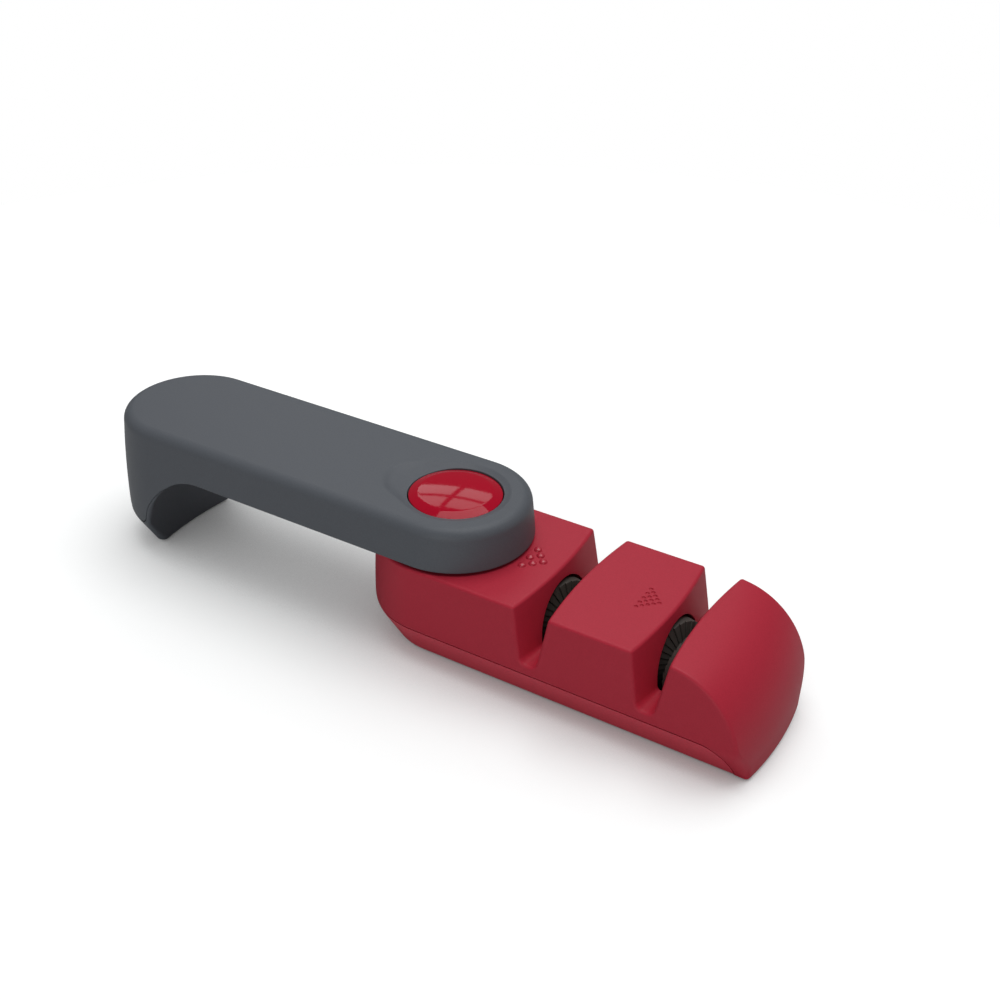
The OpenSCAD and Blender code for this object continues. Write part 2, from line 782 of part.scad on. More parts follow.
module button_cap() {
  ball = (button_r * button_r + button_dome * button_dome) / (2 * button_dome);
  color([0.65, 0.13, 0.2])
    difference() {
      union() {
        intersection() {
          translate([0, 0, skirt_z]) cylinder(r = button_r, h = handle_h);
          translate([0, 0, rim_z + button_dome - ball]) sphere(r = ball, $fn = 180);
        }
        for (a = [40, 140, 220, 320]) rotate([0, 0, a])
          translate([button_r - 0.5, -lug_w / 2, skirt_z]) cube([lug_out + 0.5, lug_w, lug_h]);
      }
      difference() {
        translate([0, 0, skirt_z - over]) cylinder(r = button_r - skirt_t, h = cap_under - skirt_z + over);
        translate([0, 0, cap_under - flange_t * 1.75])
          difference() {
            cylinder(r = flange_r + fit_gap + skirt_t, h = flange_t * 2.5);
            translate([0, 0, -over]) cylinder(r = flange_r + fit_gap, h = flange_t * 2.5 + over * 2);
          }
      }
      translate([-button_r, 0, skirt_z])
        cube([button_r, strip_half * 1.2, strip_h * 2], center = true);
    }
}

module button_plunger() {
  color([0.9, 0.9, 0.88]) {
    translate([0, 0, spring_top]) cylinder(r = flange_r, h = flange_t);
    translate([0, 0, plunger_z]) cylinder(r = stem_r, h = spring_top - plunger_z + fit_gap);
  }
}

// Compression spring: one unbroken wire along a helix from seat to plunger
module button_spring() {
  rings = 24 * spring_turns;
  sides = 8;
  low = ring_top + spring_wire / 2;
  rise = spring_top - ring_top - spring_wire;
  mid = spring_r - spring_wire / 2;
  function at(i) = let (a = i * 15) [mid * cos(a), mid * sin(a), low + rise * i / rings];
  points = [for (i = [0:rings], k = [0:sides - 1])
    let (a = i * 15, b = k * 360 / sides, c = at(i), w = spring_wire / 2)
    [c[0] + w * cos(b) * cos(a), c[1] + w * cos(b) * sin(a), c[2] + w * sin(b)]];
  faces = concat([[for (k = [0:sides - 1]) k]],
    [for (i = [0:rings - 1], k = [0:sides - 1]) let (n = (k + 1) % sides)
      each [[i * sides + k, (i + 1) * sides + k, (i + 1) * sides + n],
        [i * sides + k, (i + 1) * sides + n, i * sides + n]]],
    [[for (k = [sides - 1:-1:0]) rings * sides + k]]);
  color([0.75, 0.76, 0.78]) polyhedron(points, faces);
}

base_housing();
base_plate();
base_pads();
base_screws();
color([0.1, 0.1, 0.11]) on_axle(slot_x) carrier();  // coarse_carrier
color([0.1, 0.1, 0.11]) on_axle(fine_x) carrier();  // fine_carrier
color([0.7, 0.71, 0.73]) on_axle(slot_x) axle();  // coarse_axle
color([0.7, 0.71, 0.73]) on_axle(fine_x) axle();  // fine_axle
color([0.85, 0.84, 0.8]) on_axle(slot_x) hub();  // coarse_hub
color([0.85, 0.84, 0.8]) on_axle(fine_x) hub();  // fine_hub
color([0.17, 0.16, 0.15]) on_axle(slot_x) wheel();  // coarse_wheel_left
color([0.17, 0.16, 0.15]) on_axle(slot_x) rotate([0, 0, 180]) wheel();  // coarse_wheel_right
color([0.22, 0.21, 0.2]) on_axle(fine_x) wheel();  // fine_wheel_left
color([0.22, 0.21, 0.2]) on_axle(fine_x) rotate([0, 0, 180]) wheel();  // fine_wheel_right
pivot_washer();
latch_ring();
pivot_screws();
handle_shell();
handle_liner();
leg_cap();
leg_pad();
handle_screws();
leg_screw();
latch_spring();
button_cap();
button_plunger();
button_spring();
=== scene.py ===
# A folding pull-through knife sharpener, standing open: a red base with two pairs of grooved
# wheels in its slots, and a grey handle that swings about a pivot under a red button.
# Lengths are in millimetres until a mesh is made. +X runs from the pivot to the nose.
import bmesh
import bpy
import numpy as np
from mathutils import Matrix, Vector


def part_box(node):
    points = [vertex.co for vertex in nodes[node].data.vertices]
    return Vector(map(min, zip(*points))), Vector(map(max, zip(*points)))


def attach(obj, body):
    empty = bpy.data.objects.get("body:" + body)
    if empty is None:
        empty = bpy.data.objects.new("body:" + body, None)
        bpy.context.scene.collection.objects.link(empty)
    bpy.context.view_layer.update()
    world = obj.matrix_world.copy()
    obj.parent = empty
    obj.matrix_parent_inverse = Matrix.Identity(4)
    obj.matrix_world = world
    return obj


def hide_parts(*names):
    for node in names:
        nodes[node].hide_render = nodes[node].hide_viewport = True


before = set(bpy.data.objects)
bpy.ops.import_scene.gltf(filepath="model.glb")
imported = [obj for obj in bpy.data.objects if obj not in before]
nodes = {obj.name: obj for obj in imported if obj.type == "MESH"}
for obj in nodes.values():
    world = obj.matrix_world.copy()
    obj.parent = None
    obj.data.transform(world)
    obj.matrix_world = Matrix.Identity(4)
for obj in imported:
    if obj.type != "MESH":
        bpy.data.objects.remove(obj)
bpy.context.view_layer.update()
MM = 0.001

# Camera
# It stands 32 cm from the sharpener, off its right-hand side, and looks down on it with a
# normal lens. Its place, turn and lens were fitted to the outlines of the photograph.
camera_at = (142.26, -216.13, 194.75)
lens_length = 48.11
film_width = 36.0
azimuth, elevation, roll = np.radians([31.12, 31.81, 0.85])
back = np.array([np.sin(azimuth) * np.cos(elevation), -np.cos(azimuth) * np.cos(elevation),
                 np.sin(elevation)])
level = np.array([np.cos(azimuth), np.sin(azimuth), 0.0])
upright = np.cross(back, level)
right = np.cos(roll) * level + np.sin(roll) * upright
up = np.cos(roll) * upright - np.sin(roll) * level
camera = bpy.data.objects.new("camera", bpy.data.cameras.new("camera"))
camera.data.lens = lens_length
camera.data.sensor_width = film_width
turn = Matrix(np.array([right, up, back]).T.tolist()).to_4x4()
camera.matrix_world = Matrix.Translation([c * MM for c in camera_at]) @ turn
bpy.context.scene.collection.objects.link(camera)
bpy.context.scene.camera = camera

# Base housing
# The red upper shell of the base, moulded in soft-touch plastic and held by six screws from below.
# It is round about the pivot, has two slots with bowed walls for the blade, and ends in a nose
# that curves down to the table.

# Half width, the barrel of the sides, the chamfer below the seam, and the top's height
half = 19.0
seam_z = 9.3
chamfer_in = 5.0
low_z = 0.4
barrel_r = 227.0
crease = 0.25
base_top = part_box("pivot_washer")[0].z / MM
wall = 2.2

# Slots: their places along the base, their width above and at the floor, and the bow of the walls
slot_at = (30.7, 58.8)
slot_w = 8.8
slot_floor_w = 4.0
slot_floor = 11.9
slot_swell = 1.5
slot_corner = 1.9

# Rounded edges, and the heights between which the one beside the nose grows softer
top_edge_r = 0.8
side_edge_r = 0.75
foot_side_r = 2.8
foot_side_z = 10.5
foot_low_z = 7.0

# Nose, and the seam, which turns down behind it in an arc
nose_r = 82.58
nose_back = 17.4
nose_z = 5.2
foot_edge_r = 1.0
seam_gap = 0.3
seam_turn_x = 71.5
seam_turn = 6.5
seam_end_angle = 0.14
plate_end_x = 69.3
rebate_z = 10.7

# Points along each part of the outline
edge_points = 9
wall_points = 6
corner_points = 9
top_points = 6
curve_points = 30
drop_points = 4
foot_points = 6
under_points = 4


def half_width(z):
    """Half width at height z: a line up the chamfer and a wide arc above it, joined by a soft minimum."""
    arc = half - np.square(np.maximum(z - seam_z, 0)) / (2 * barrel_r)
    line = half - chamfer_in * (seam_z - z) / (seam_z - low_z)
    return -crease * np.logaddexp(-arc / crease, -line / crease)


def steps(first, last, count, ends=True):
    """Evenly spaced values as a column, with or without the two end values."""
    values = np.linspace(first, last, count if ends else count + 2)
    return (values if ends else values[1:-1])[:, None]


def slot_bow(y):
    """How far a slot wall swells inwards at y: a parabola, highest at the middle of the slot."""
    return slot_swell * (1 - np.square(y / half))


slot_lean = np.arctan2((slot_w - slot_floor_w) / 2, base_top - slot_floor)
slot_turn = np.pi / 2 - slot_lean
edge_run = top_edge_r * np.tan(slot_turn / 2)
near_points = edge_points + wall_points + corner_points
slot_columns = 2 * near_points + 1


def slot_line(middle, y):
    """Near half of a slot's section at each y, as x, z and heading: an arc over the edge, a straight wall
    that leans, an arc into the floor, and the middle of the floor."""
    edge_y, wall_y, corner_y, floor_y = np.split(
        y[:near_points + 1], np.cumsum([edge_points, wall_points, corner_points]))
    arc = steps(0, slot_turn, edge_points)
    edge_x = middle - slot_w / 2 + slot_bow(edge_y) - edge_run
    edge = [edge_x + top_edge_r * np.sin(arc), base_top - top_edge_r * (1 - np.cos(arc)) + 0 * edge_y,
            -arc + 0 * edge_y]

    def corner(yy, angle):
        """Corner arc between wall and floor: its radius shrinks as the floor narrows."""
        floor_half = slot_floor_w / 2 - slot_bow(yy)
        r = slot_corner * floor_half / (slot_floor_w / 2)
        x = middle - floor_half + r * np.tan(slot_turn / 2) - r * np.sin(angle)
        return x, slot_floor + r * (1 - np.cos(angle))

    arc = steps(slot_turn, 0, corner_points)
    corner_x, corner_z = corner(corner_y, arc)
    bottom = [corner_x, corner_z, -arc + 0 * corner_y]
    share = steps(0, 1, wall_points, ends=False)
    head_x = middle - slot_w / 2 + slot_bow(wall_y) - edge_run + top_edge_r * np.sin(slot_turn)
    head_z = base_top - top_edge_r * (1 - np.cos(slot_turn))
    foot_x, foot_z = corner(wall_y, slot_turn)
    side = [head_x + (foot_x - head_x) * share, head_z + (foot_z - head_z) * share,
            -slot_turn + 0 * wall_y]
    centre = [middle + 0 * floor_y, slot_floor + 0 * floor_y, 0 * floor_y]
    near = [np.vstack(rows) for rows in zip(edge, side, bottom)]
    return near, centre


def mirrored_slot(middle, y):
    """The whole section of a slot: its near half, its middle, and the near half turned about the middle."""
    near, centre = slot_line(middle, y)
    far, _ = slot_line(middle, y[::-1])
    far = [2 * middle - far[0][::-1], far[1][::-1], -far[2][::-1]]
    return [np.vstack(rows) for rows in zip(near, centre, far)]


def nose_line(y):
    """Section of the nose, a surface turned about the pivot, so that x is the root of radius squared less
    y squared: a quarter ellipse, a straight drop, a quarter circle at the foot, and a run to the seam."""
    curve_y, drop_y, foot_y, under_y = np.split(y, np.cumsum([curve_points, drop_points, foot_points]))
    inner = nose_r - nose_back
    rise = base_top - nose_z
    start_x = slot_at[1] + slot_w / 2 - slot_bow(curve_y) + edge_run
    start = np.arcsin((np.hypot(start_x, curve_y) - inner) / nose_back)
    angle = start + (np.pi / 2 - start) * steps(0, 1, curve_points + 1)[1:]
    bent = np.maximum(angle, 0)
    curve_r = inner + nose_back * np.sin(angle)
    curve = [np.sqrt(curve_r**2 - curve_y**2), nose_z + rise * np.cos(bent),
             np.arctan2(-rise * np.sin(bent), nose_back * np.cos(bent))]
    drop_to = steps(nose_z, low_z + foot_edge_r, drop_points, ends=False)
    drop = [np.sqrt(nose_r**2 - drop_y**2), drop_to + 0 * drop_y, 0 * drop_y - np.pi / 2]
    arc = steps(0, np.pi / 2, foot_points)
    foot_r = nose_r - foot_edge_r * (1 - np.cos(arc))
    foot = [np.sqrt(foot_r**2 - foot_y**2), low_z + foot_edge_r * (1 - np.sin(arc)) + 0 * foot_y,
            -np.pi / 2 - arc + 0 * foot_y]
    end_x = seam_turn_x + (seam_turn + seam_gap) * np.cos((low_z + foot_edge_r) / seam_z)
    under_x = np.sqrt((nose_r - foot_edge_r)**2 - under_y**2)
    share = steps(0, 1, under_points + 1)[1:]
    under = [under_x + (end_x - under_x) * share, low_z + 0 * under_y, 0 * under_y - np.pi]
    return [np.vstack(rows) for rows in zip(curve, drop, foot, under)]


nose_columns = curve_points + drop_points + foot_points + under_points
column_counts = [top_points, slot_columns, top_points, slot_columns, nose_columns]


def roof_line(y):
    """Upper outline of the base at each y: top, slot, top, slot and nose, as x, z and heading."""
    top_y, slot_y, mid_y, second_y, nose_y = np.split(y, np.cumsum(column_counts)[:-1])
    first = slot_at[0] - slot_w / 2 + slot_bow(top_y) - edge_run
    top = [first * steps(0, 1, top_points + 1)[:-1], base_top + 0 * top_y, 0 * top_y]
    left = slot_at[0] + slot_w / 2 - slot_bow(mid_y) + edge_run
    reach = slot_at[1] - slot_w / 2 + slot_bow(mid_y) - edge_run - left
    middle = [left + reach * steps(0, 1, top_points, ends=False), base_top + 0 * mid_y, 0 * mid_y]
    pieces = [top, mirrored_slot(slot_at[0], slot_y), middle, mirrored_slot(slot_at[1], second_y),
              nose_line(nose_y)]
    return [np.vstack(rows) for rows in zip(*pieces)]


def grid_faces(rows, cols, wrap=False):
    """Quads between neighbouring points of a grid that is stored row by row, closed in rows if wrap."""
    i = np.arange(rows if wrap else rows - 1)[:, None]
    j = np.arange(cols - 1)[None, :]
    below = (i + 1) % rows
    return np.stack([i * cols + j, i * cols + j + 1, below * cols + j + 1, below * cols + j],
                    -1).reshape(-1, 4)


def patch(grid, wrap=False):
    """A grid of points with the faces between them, as mesh_piece takes it."""
    return grid, grid_faces(*grid.shape[:2], wrap=wrap)


merge_within = 0.002
sharp_past = 32


def mesh_piece(name, parts, sharp=sharp_past, mirror=False):
    """One closed mesh of patches, each its points in millimetres and its faces. A half is mirrored in
    the XZ plane, doubles are merged, open ends are capped, and edges past an angle stay sharp."""
    points = []
    faces = []
    count = 0
    for part, part_faces in parts:
        part = np.asarray(part, float).reshape(-1, 3)
        for flip in ((1, -1) if mirror else (1,)):
            points.append(part * [1, flip, 1])
            faces += (np.asarray(part_faces)[:, ::flip] + count).tolist()
            count += len(part)
    mesh = bpy.data.meshes.new(name)
    mesh.from_pydata(np.vstack(points) * MM, [], faces)
    shape = bmesh.new()
    shape.from_mesh(mesh)
    bmesh.ops.remove_doubles(shape, verts=shape.verts, dist=merge_within * MM)
    bmesh.ops.holes_fill(shape, edges=[e for e in shape.edges if e.is_boundary], sides=0)
    bmesh.ops.recalc_face_normals(shape, faces=shape.faces)
    shape.to_mesh(mesh)
    shape.free()
    mesh.shade_smooth()
    mesh.set_sharp_from_angle(angle=np.radians(sharp))
    piece = bpy.data.objects.new(name, mesh)
    bpy.context.scene.collection.objects.link(piece)
    return piece


def carve(piece, tool, operation="DIFFERENCE"):
    """Cuts tool out of piece, or joins it on, and leaves the result in the mesh."""
    cut = piece.modifiers.new("cut", "BOOLEAN")
    cut.object = tool
    cut.operation = operation
    cut.solver = "EXACT"
    graph = bpy.context.evaluated_depsgraph_get()
    done = bpy.data.meshes.new_from_object(piece.evaluated_get(graph))
    piece.modifiers.clear()
    piece.data = done
    done.set_sharp_from_angle(angle=np.radians(sharp_past))
    bpy.data.objects.remove(tool)


def yawed(points, yaw):
    """Points turned in plan about the pivot's axis by yaw."""
    c, s = np.cos(yaw), np.sin(yaw)
    return points @ np.array([[c, s, 0], [-s, c, 0], [0, 0, 1]])


def turned(profile, places=((0, 0, 0),), sides=64, axis="z", yaw=0.0):
    """Closed bodies of revolution, one at each place: a closed profile of radius and height, turned
    about Z, or about X with the height along it and the whole turned in plan by yaw."""
    profile = np.asarray(profile, float)
    angle = np.linspace(0, 2 * np.pi, sides, endpoint=False)[:, None]
    r = profile[:, 0][None, :]
    ring = np.stack([r * np.cos(angle), r * np.sin(angle), profile[:, 1] + 0 * r * angle], -1)
    if axis == "x":
        ring = yawed(ring[..., [2, 1, 0]] * [1, 1, -1], yaw)
    return [patch(ring + np.array(place), wrap=True) for place in places]


def with_round_end(grid):
    """A half grid after a round end, which is its first column swept a quarter turn about the pivot."""
    swing = np.linspace(0, np.pi / 2, 25)[:-1, None]
    y, z = grid[0, :, 1], grid[0, :, 2]
    return np.vstack([np.stack([-y * np.cos(swing), y * np.sin(swing), z + 0 * swing], -1), grid])


# One side of the shell, mirrored later: each column runs from the middle of the top over the rounded
# edge, down the side and back under the shell. The edge's radius and the side's width at the roof's
# height depend on each other, so both are worked out three times.
across = 1 - np.square(np.linspace(1, 0, 16))
rounding = np.linspace(0, np.pi / 2, 8)[1:]
columns = sum(column_counts)
reach = np.full((columns, 1), half)
side_r = np.full((columns, 1), side_edge_r)
for _ in range(3):
    y = np.hstack([across * (reach - side_r), reach - side_r + side_r * np.sin(rounding)])
    roof_x, roof_z, heading = roof_line(y)
    inset = side_r * np.append(0 * across, 1 - np.cos(rounding))
    roof_x = roof_x + np.sin(heading) * inset
    roof_z = roof_z - np.cos(heading) * inset
    reach = half_width(roof_z[:, -1:])
    below = np.clip((foot_side_z - roof_z[:, -1:]) / (foot_side_z - low_z), 0, 1)
    low = np.clip((roof_z[:, :1] - low_z) / (foot_low_z - low_z), 0, 1)
    side_r = side_edge_r + (foot_side_r - side_edge_r) * below * (2 - below) * low * (2 - low)
rim_x, rim_z = roof_x[:, -1], roof_z[:, -1]

nose_first = columns - column_counts[-1]
seam_bend = np.linspace(np.pi / 2, seam_end_angle, 60)
seam_line = np.vstack([[[rim_x[nose_first], seam_z + seam_gap]],
                       np.stack([seam_turn_x + (seam_turn + seam_gap) * np.cos(seam_bend),
                                 (seam_z + seam_gap) * np.sin(seam_bend)], -1)])


def run_share(x, z):
    """Share of the whole length of a line that lies before each of its points."""
    length = np.append(0, np.cumsum(np.hypot(np.diff(x), np.diff(z))))
    return length / length[-1]


share = run_share(rim_x[nose_first:], rim_z[nose_first:])
along = run_share(*seam_line.T)
foot_x = rim_x.copy()
foot_z = np.full(columns, seam_z + seam_gap)
foot_x[nose_first:] = np.interp(share, along, seam_line[:, 0])
foot_z[nose_first:] = np.interp(share, along, seam_line[:, 1])
row_crowding = 1.6
down = 1 - np.power(np.linspace(1, 0, 25)[1:], row_crowding)
side_x = rim_x[:, None] + (foot_x - rim_x)[:, None] * down
side_z = rim_z[:, None] + (foot_z - rim_z)[:, None] * down
side_y = half_width(side_z)
lip_y = half_width(foot_z) - wall
step_z = np.where(foot_x < plate_end_x, rebate_z, foot_z)
under_y = np.stack([lip_y, lip_y, lip_y / 2, 0 * lip_y], -1)
under_z = np.stack([foot_z, step_z, step_z, step_z], -1)
under_x = np.repeat(foot_x[:, None], 4, axis=1)
loop = np.stack([np.hstack([roof_x, side_x, under_x]), np.hstack([y, side_y, under_y]),
                 np.hstack([roof_z, side_z, under_z])], -1)
housing = mesh_piece("housing_shell", [patch(with_round_end(loop))], mirror=True)

# Grit marks: six raised dots beside the coarse slot and fifteen dimples beside the fine one.
mark_r = 0.95
mark_rise = 0.6
mark_back = 7.4
mark_step = 1.7
mark_pitch = 3.6
mark_rows = 3
dimple_r = 0.5
dimple_depth = 0.36
dimple_back = 6.8
dimple_step = 0.93
dimple_pitch = 1.86
dimple_rows = 5
stub = 0.3


def dot(radius, rise, base):
    """Profile of a dot: a half ellipse, which stands on a stub that ends at base."""
    r = radius * np.sin(np.linspace(0, np.pi / 2, 9))
    z = rise * np.sqrt(1 - (r / radius)**2)
    return np.vstack([np.stack([r, base_top + z], -1), [[radius, base_top + base], [0, base_top + base]]])


def triangle(first_x, step, pitch, rows):
    """Places in a triangle: one at first_x and one more in each row behind it."""
    return [(first_x - row * step, (i - row / 2) * pitch, 0) for row in range(rows) for i in range(row + 1)]


def solid(parts):
    """A cutting or joining body from closed patches."""
    return mesh_piece("tool", parts)


def cylinder_profile(r, low, high):
    """Profile of a plain cylinder."""
    return [(0, low), (r, low), (r, high), (0, high)]


# The round post that carries the handle stands on the top, and is joined on with the dots.
post_r = 7.0
post_rise = 2.6
post_sunk = 1.0
post = turned(cylinder_profile(post_r, base_top - post_sunk, base_top + post_rise))
mark_at = triangle(slot_at[0] - mark_back, mark_step, mark_pitch, mark_rows)
dots = turned(dot(mark_r, mark_rise, -stub), mark_at, 32)
carve(housing, solid(post + dots), "UNION")

# Holes for the six base screws, each a wide room with a thread above it, and for the three screws
# of the pivot, cut with the dimples.
screw_spots = ((0, 6.2), (44.75, 10.6), (66.4, 10.6))
screw_room_r = 3.4
thread_r = 1.2
thread_top = 17.5
screw_low = 8.0
pivot_screw_r = 0.9
pivot_screw_ring = 5.2
pivot_screw_z = (22.8, 31.0)
screw_at = [(x, side * y, 0) for x, y in screw_spots for side in (-1, 1)]
screw_hole = [(0, screw_low), (screw_room_r, screw_low), (screw_room_r, rebate_z), (thread_r, rebate_z),
              (thread_r, thread_top), (0, thread_top)]
pivot_screw_at = [(pivot_screw_ring * np.cos(a), pivot_screw_ring * np.sin(a), 0)
                  for a in np.radians([60, 180, 300])]
dimple_at = triangle(slot_at[1] - dimple_back, dimple_step, dimple_pitch, dimple_rows)
holes = turned(dot(dimple_r, -dimple_depth, stub), dimple_at, 24)
holes += turned(screw_hole, screw_at, 32)
holes += turned(cylinder_profile(pivot_screw_r, *pivot_screw_z), pivot_screw_at, 24)
carve(housing, solid(holes))

# Openings over the wheels: an arch across each slot, a bore round the oblique axle, and below
# them a room for the carrier that holds the axle.
arch_r = 10.5
arch_half = 5.65
arch_z = 12.3
axle_z = 13.0
axle_yaw = np.radians(-18)
bore_r = 9.0
bore_half = 5.05
room_x = 7.2
room_y = 6.7
room_top = 17.5
arch = cylinder_profile(arch_r, -arch_half, arch_half)
bore = cylinder_profile(bore_r, -bore_half, bore_half)
carve(housing, solid(turned(arch, [(x, 0, arch_z) for x in slot_at], 128, "x")))
carve(housing, solid(turned(bore, [(x, 0, axle_z) for x in slot_at], 96, "x", axle_yaw)))
room = np.array([[[room_x * sx, room_y * sy, z] for z in (0, room_top)]
                 for sx, sy in ((-1, -1), (1, -1), (1, 1), (-1, 1))])
room = yawed(room, axle_yaw)
carve(housing, solid([patch(room + [x, 0, 0], wrap=True) for x in slot_at]))


def linear(colour):
    """Linear values of a display colour written from 0 to 255: a line near black, a power above it."""
    c = np.array(colour) / 255
    return np.where(c < 0.04045, c / 12.92, ((c + 0.055) / 1.055)**2.4)


def finish(name, colour, roughness, grain=0.35, relief=0.004, mottle=0.06, **sockets):
    """A finish whose colour and height follow fine noise; grain and relief are in millimetres."""
    material = bpy.data.materials.new(name)
    material.use_nodes = True
    tree = material.node_tree
    shader = tree.nodes["Principled BSDF"]
    place = tree.nodes.new("ShaderNodeTexCoord")
    noise = tree.nodes.new("ShaderNodeTexNoise")
    noise.inputs["Scale"].default_value = 1 / (grain * MM)
    noise.inputs["Detail"].default_value = 4.0
    tone = tree.nodes.new("ShaderNodeMix")
    tone.data_type = "RGBA"
    tone.inputs[6].default_value = (*(linear(colour) * (1 - mottle * 2)), 1)
    tone.inputs[7].default_value = (*(linear(colour) * (1 + mottle * 2)), 1)
    bump = tree.nodes.new("ShaderNodeBump")
    bump.inputs["Distance"].default_value = relief * MM
    bump.inputs["Strength"].default_value = 1.0
    tree.links.new(place.outputs["Object"], noise.inputs["Vector"])
    tree.links.new(noise.outputs["Fac"], tone.inputs["Factor"])
    tree.links.new(noise.outputs["Fac"], bump.inputs["Height"])
    tree.links.new(tone.outputs[2], shader.inputs["Base Color"])
    tree.links.new(bump.outputs["Normal"], shader.inputs["Normal"])
    shader.inputs["Roughness"].default_value = roughness
    for socket, value in sockets.items():
        shader.inputs[socket.replace("_", " ")].default_value = value
    return material


def dress(piece, material, slot, body, *replaced):
    """Gives a new piece its finish and its body, and hides the CAD nodes that it stands for; slot is not
    used.
    """
    piece.data.materials.clear()
    piece.data.materials.append(material)
    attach(piece, body)
    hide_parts(*replaced)


red = (183, 43, 62)
red_shell = finish("red_soft_touch", red, 0.45, relief=0.006, Specular_IOR_Level=0.22)
dress(housing, red_shell, "red_shell", "base", "base_housing")

# The raised dots are polished: they are the faces above the top and outside the post.
proud = 0.02
housing.data.materials.append(finish("red_polished", red, 0.2, relief=0.0))
face_at = np.empty(3 * len(housing.data.polygons))
housing.data.polygons.foreach_get("center", face_at)
x, y, z = face_at.reshape(-1, 3).T / MM
on_dot = (z > base_top + proud) & (np.hypot(x, y) > post_r + 1)
housing.data.polygons.foreach_set("material_index", on_dot.astype(np.int32))

# Base plate
# The red tray that closes the housing from below, moulded in the same plastic with a coarser
# spark-eroded texture; its lighter, pinker red is painted light from the white table below. Six
# screws hold it, and a tongue on its rim centres it in the housing.
tray_floor = 2.4
tray_edge_r = 0.8
tray_edge_in = 0.6
tongue_in = 2.3
tongue_t = 1.0
tongue_up = 1.3
tongue_down = 1.4
head_r = 2.2
head_room = 5.0

# Columns of the tray: the first three are hollow with a tongue on the rim, and the rest, where its
# front turns up along the seam, are solid.
front_bend = np.linspace(np.pi / 2, np.arcsin(low_z / seam_z), 24)
tray_x = np.concatenate([[0, plate_end_x / 2, plate_end_x, plate_end_x],
                         seam_turn_x + seam_turn * np.cos(front_bend)])[:, None]
tray_z = np.concatenate([np.full(4, seam_z), seam_z * np.sin(front_bend)])[:, None]
hollow_columns = 3
hollow = (np.arange(len(tray_x)) < hollow_columns)[:, None]
edge_r = np.minimum(tray_edge_r, tray_z - low_z)
bend = np.linspace(0, np.pi / 2, 7)
edge_z = low_z + edge_r * (1 - np.cos(bend))
edge_y = half_width(edge_z) - tray_edge_in * edge_r * (1 - np.sin(bend))
wall_z = edge_z[:, -1:] + (tray_z - edge_z[:, -1:]) * np.linspace(0, 1, 13)[1:]
rim_y = half_width(tray_z)
tongue_out = tongue_in + tongue_t
floor_in = half_width(seam_z) - half_width(tray_floor) + wall
tongue_line = [tongue_in, tongue_in, tongue_out, tongue_out, wall, floor_in]
inner_y = rim_y - np.where(hollow, [tongue_line], 2.0 + np.arange(len(tongue_line)))
inner_z = tray_z + np.where(hollow, [[0, tongue_up, tongue_up, -tongue_down, -tongue_down,
                                      tray_floor - seam_z]], 0.0)
tray_section = np.stack([np.hstack([0 * tray_z, edge_y, half_width(wall_z), inner_y, 0 * tray_z]),
                         np.hstack([low_z + 0 * tray_z, edge_z, wall_z, inner_z, inner_z[:, -1:]])], -1)
tray = np.stack([np.broadcast_to(tray_x, tray_section.shape[:2]), tray_section[..., 0],
                 tray_section[..., 1]], -1)
plate = mesh_piece("base_tray", [patch(with_round_end(tray))], mirror=True)
carve(plate, solid(turned(cylinder_profile(head_r, 0, head_room), screw_at, 48)))
# The housing's red painted lighter and pinker: painted light for what the chamfer gets from the table.
red_plate = finish("red_textured_painted_light", (206, 60, 78), 0.45, grain=0.5, relief=0.02, mottle=0.1,
                   Specular_IOR_Level=0.5)
dress(plate, red_plate, "red_plate", "base", "base_plate")

# Handle shell
# The grey upper shell of the handle, a long soft-touch cover with round ends, screwed to the liner
# below it. A recess shaped like a drop surrounds the button hole, and the far end bends down
# into the leg.

# Heights, the centre of the far end, the gap to the nose in passing, and the rounded edges
handle_z = 26.4
handle_top = 36.7
ceiling_z = handle_top - 2.4
far = -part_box("handle_shell")[0].x / MM - half
nose_gap = 0.6
top_round = 2.6
rim_round = 0.3
seam_round = 0.12
round_run = 3.0

# Button hole with its collar, and the drop
hole_r = 11.05
hole_round = 0.15
collar_r = 12.37
collar_z = 30.9
drop_r = 12.7
drop_tail_r = 9.0
drop_tail_x = -9.2
drop_depth = 0.85
drop_run = 4.0
drop_soft = 0.08

# Joint between the shell and the leg's inner cover at the side
joint_t = 1.1
joint_turn = 2.0
joint_gap = 0.14
joint_top = 21.9
joint_fade = 0.6
joint_even = 15.0

# Places along the handle where the spacing of the grid changes
hole_end = 24.0
tail_end = 42.0
bar_end = 61.6
tail_in = 27.0
hole_ring = 1.2
top_crowding = 1.15


def joint_run(z, seam):
    """Width of the leg's inner cover at the side face, at height z: even, narrower towards its top, and
    wider in a quarter circle down to the seam."""
    rise = np.clip((z - seam) / joint_turn, 0, 1)
    narrow = np.clip((joint_top + joint_fade - z) / (joint_top + joint_fade - joint_even), 0, 1)
    return joint_t * narrow + joint_turn * (1 - np.sqrt(1 - (1 - rise)**2))


def side_cut(r, w):
    """X where a circle about the pivot meets a handle outline of half width w, straight and then round."""
    straight = -np.sqrt(r * r - w * w)
    return np.where(straight < -far, -(r * r - w * w + far * far) / (2 * far), straight)


def drop_edge(x, y):
    """Distance outside the drop, the hull of a large circle at the pivot and a small one behind it."""
    tilt = (drop_r - drop_tail_r) / -drop_tail_x
    lean = np.sqrt(1 - tilt * tilt)
    share = np.clip((-x - np.abs(y) * tilt / lean) / -drop_tail_x, 0, 1)
    radius = drop_r + (drop_tail_r - drop_r) * share
    return np.hypot(x - drop_tail_x * share, y) - radius


def top_height(x, y):
    """Height of the handle's top: flat, with a bowl inside the drop whose edge is a soft maximum."""
    inside = drop_soft * np.logaddexp(0, -drop_edge(x, y) / drop_soft)
    return handle_top - drop_depth * np.tanh(inside / drop_run * 2)


